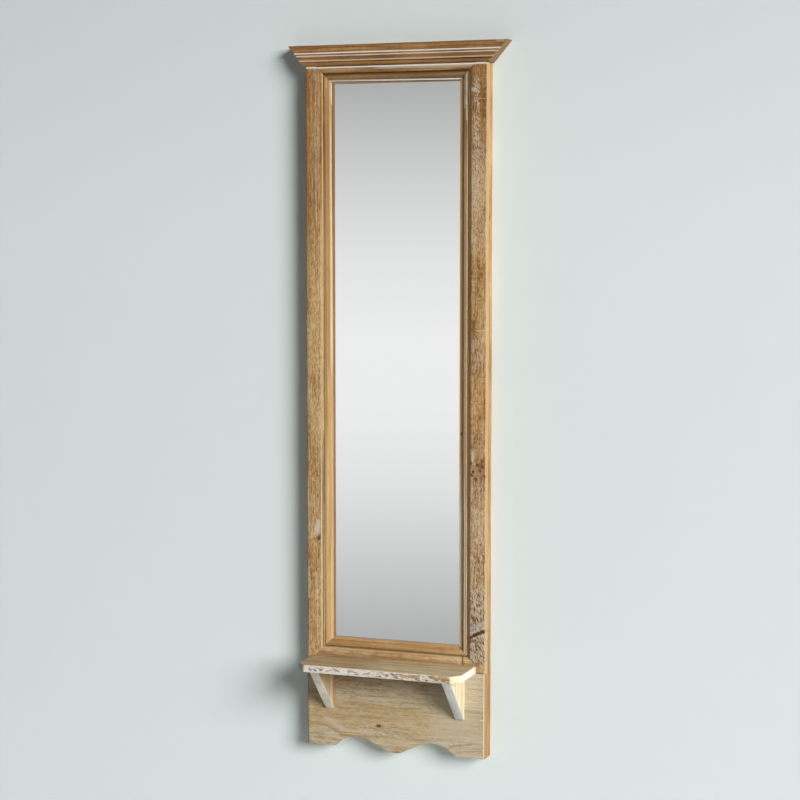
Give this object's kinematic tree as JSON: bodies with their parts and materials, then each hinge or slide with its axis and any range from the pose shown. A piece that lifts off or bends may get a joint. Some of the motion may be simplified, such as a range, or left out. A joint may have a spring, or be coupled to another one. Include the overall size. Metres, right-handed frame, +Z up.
{
  "type": "wall mirror with shelf",
  "caption": "Tall narrow wall mirror in a mitred, profiled wood frame with a stepped crown, a small bracketed shelf and a scalloped apron.",
  "frame": {"origin": "on the wall plane, midway between the round ends of the two keyhole hangers", "axes": "+X to the right as one faces the mirror, +Y into the wall, +Z up"},
  "size_m": [0.346, 0.1065, 1.067],
  "materials": {
    "crown_wood": "worn, waxed, with traces of white paint",
    "stile_wood": "worn and waxed, paint partly stripped",
    "rail_wood": "worn and waxed",
    "moulding_wood": "worn and waxed",
    "side_wood": "waxed",
    "back_wood": "sawn, unfinished",
    "shelf_wood": "whitewashed and rubbed",
    "apron_wood": "whitewashed and rubbed",
    "mirror": "polished",
    "hardboard": "pressed fibre board",
    "plate_steel": "zinc plated",
    "screw_steel": "zinc plated"
  },
  "bodies": {
    "root": {"crown_moulding": "crown_wood", "left_stile": "stile_wood", "right_stile": "stile_wood", "top_rail": "rail_wood", "bottom_rail": "rail_wood", "left_inner_moulding": "moulding_wood", "right_inner_moulding": "moulding_wood", "top_inner_moulding": "moulding_wood", "bottom_inner_moulding": "moulding_wood", "mirror_glass": "mirror", "backing_board": "hardboard", "backing_points": "screw_steel", "left_side_board": "side_wood", "right_side_board": "side_wood", "hanging_rail": "back_wood", "lower_back_rail": "back_wood", "apron": "apron_wood", "shelf": "shelf_wood", "left_bracket": "shelf_wood", "right_bracket": "shelf_wood", "left_keyhole_plate": "plate_steel", "right_keyhole_plate": "plate_steel", "hanger_screws": "screw_steel", "shelf_screws": "screw_steel", "bracket_screws": "screw_steel", "apron_screws": "screw_steel", "crown_screws": "screw_steel", "corner_dowels": "back_wood"}
  },
  "joints": []
}
